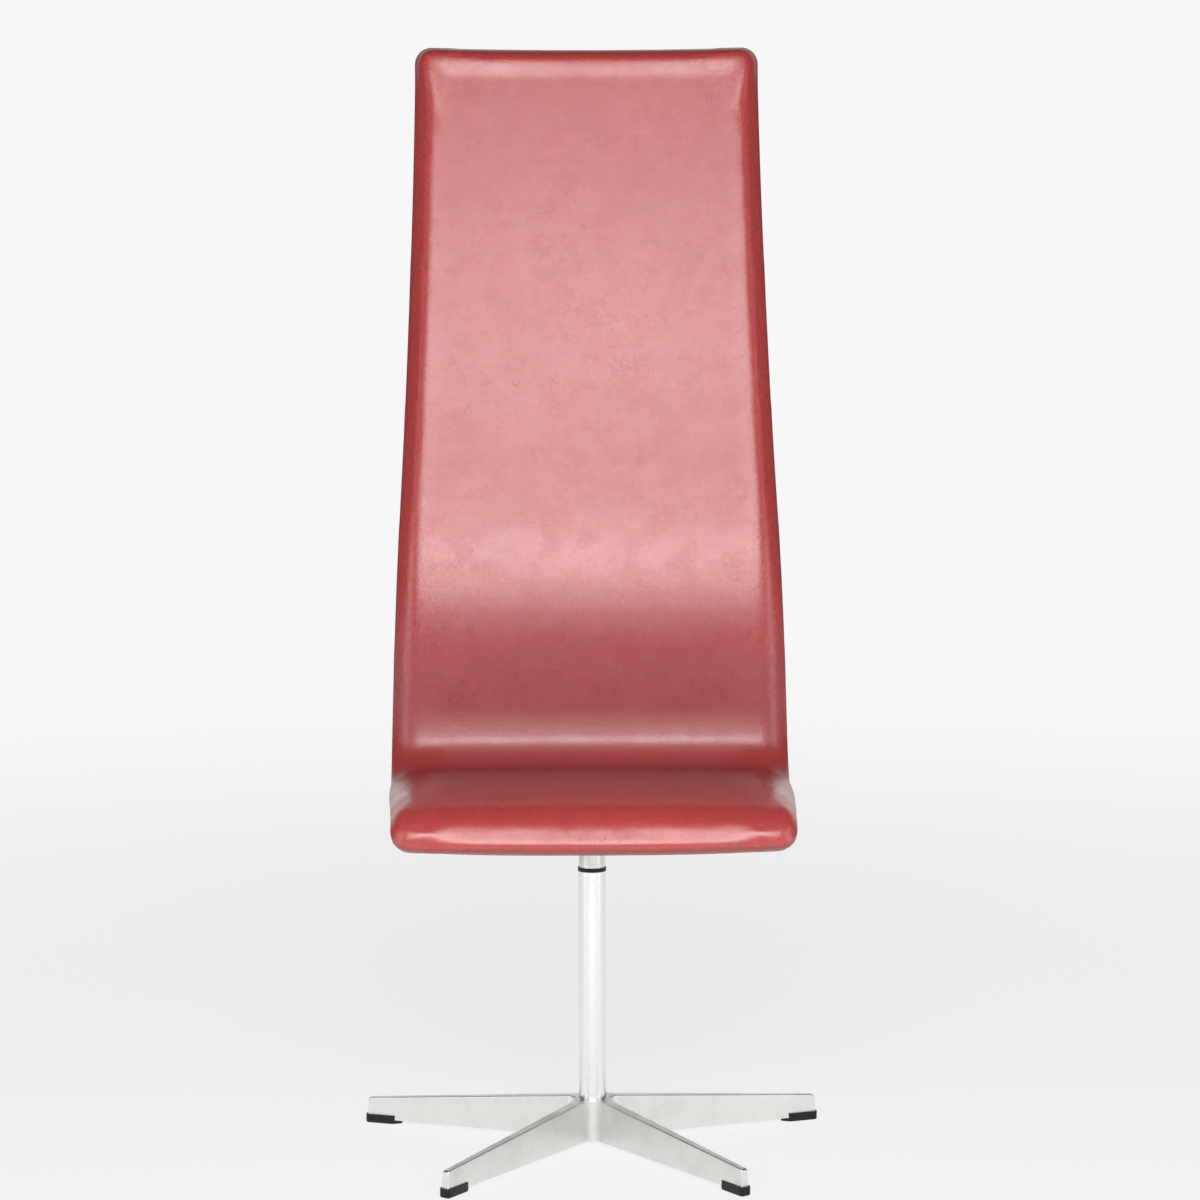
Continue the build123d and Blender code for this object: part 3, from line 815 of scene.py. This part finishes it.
def makeFloor():
    bm = bmesh.new()
    bmesh.ops.create_circle(bm, cap_ends=True, segments=floorLook["segments"], radius=floorLook["radius"])
    floor = newObject("floor", bm, makeFloorPaper(), smooth=False)
    return floor


# the room: dim in front and overhead, bright low behind the chair
worldLook = {
    "dim": 0.06,
    "bright": 0.92,
    "seen": 0.93,                   # as the camera sees it
    "tint": (0.95, 0.98, 1.05),     # of the dim part
    "behindRun": (0.4, 0.9),
    "lowRun": (0.35, 0.8),
}


def makeWorld():
    look = worldLook
    world = bpy.data.worlds.new("studio")
    bpy.context.scene.world = world
    world.use_nodes = True
    tree = world.node_tree
    tree.nodes.clear()
    direction = splitPoint(tree, addNode(tree, "ShaderNodeTexCoord").outputs["Generated"])
    behind = rangeNode(tree, direction["Y"], *look["behindRun"], 0.0, 1.0)
    low = rangeNode(tree, direction["Z"], *look["lowRun"], 1.0, 0.0)
    backdrop = productNode(tree, behind, low)
    seen = addNode(tree, "ShaderNodeLightPath").outputs["Is Camera Ray"]
    unseen = mathNode(tree, "SUBTRACT", 1.0, seen)
    room = sumNode(tree, productNode(tree, backdrop, look["bright"] - look["dim"]), look["dim"])
    strength = sumNode(tree, productNode(tree, room, unseen), productNode(tree, seen, look["seen"]))
    background = addNode(tree, "ShaderNodeBackground")
    plain = mathNode(tree, "MAXIMUM", seen, backdrop)
    feed(tree, background.inputs["Color"], mixColour(tree, plain, look["tint"], (1.0, 1.0, 1.0)))
    feed(tree, background.inputs["Strength"], strength)
    output = addNode(tree, "ShaderNodeOutputWorld")
    tree.links.new(background.outputs[0], output.inputs["Surface"])


# Softboxes: place, what they face, size in metres and power in watts
back = (0, 0.1, 0.8)
nose = (0, -0.2, 0.4)
softboxes = {
    "keyUpper": {"place": (0.0, -2.5, 2.05), "target": back, "size": (2.2, 1.1), "power": 72},
    "keyLower": {"place": (0.0, -2.5, 1.22), "target": back, "size": (2.2, 0.4), "power": 22},
    "fillLeft": {"place": (-2.3, -1.5, 1.0), "target": back, "size": (1.2, 1.8), "power": 18},
    "fillRight": {"place": (2.3, -1.5, 1.0), "target": back, "size": (1.2, 1.8), "power": 19},
    "lowFront": {"place": (0.0, -1.0, 0.06), "target": nose, "size": (1.4, 0.3), "power": 1.0},
}


def makeLights():
    for name, box in softboxes.items():
        light = bpy.data.lights.new(name, "AREA")
        light.shape = "RECTANGLE"
        light.size, light.size_y = box["size"]
        light.energy = box["power"]
        lamp = bpy.data.objects.new(name, light)
        bpy.context.scene.collection.objects.link(lamp)
        lamp.location = box["place"]
        aim = Vector(box["target"]) - Vector(box["place"])
        lamp.rotation_euler = aim.to_track_quat("-Z", "Y").to_euler()
        lamp.visible_camera = False


view = {
    "place": (-0.040, -3.390, 0.963),
    "pitch": 5.74,                  # down, in degrees
    "yaw": -0.843,                  # to the right
    "roll": -0.14,
    "lens": 90.67,                  # in millimetres, as the sensor
    "sensor": 36.0,
    "clip": (0.05, 60),
}


def makeCamera():
    data = bpy.data.cameras.new("camera")
    data.lens = view["lens"]
    data.sensor_width = view["sensor"]
    data.clip_start, data.clip_end = view["clip"]
    camera = bpy.data.objects.new("camera", data)
    bpy.context.scene.collection.objects.link(camera)
    turn = Matrix.Rotation(radians(view["yaw"]), 4, "Z")
    turn @= Matrix.Rotation(radians(90 - view["pitch"]), 4, "X")
    turn @= Matrix.Rotation(radians(view["roll"]), 4, "Z")
    camera.matrix_world = Matrix.Translation(view["place"]) @ turn
    bpy.context.scene.camera = camera


makeFloor()
makeWorld()
makeLights()
makeCamera()
bpy.context.scene.view_settings.view_transform = "Standard"
print("stage, lights and camera placed")
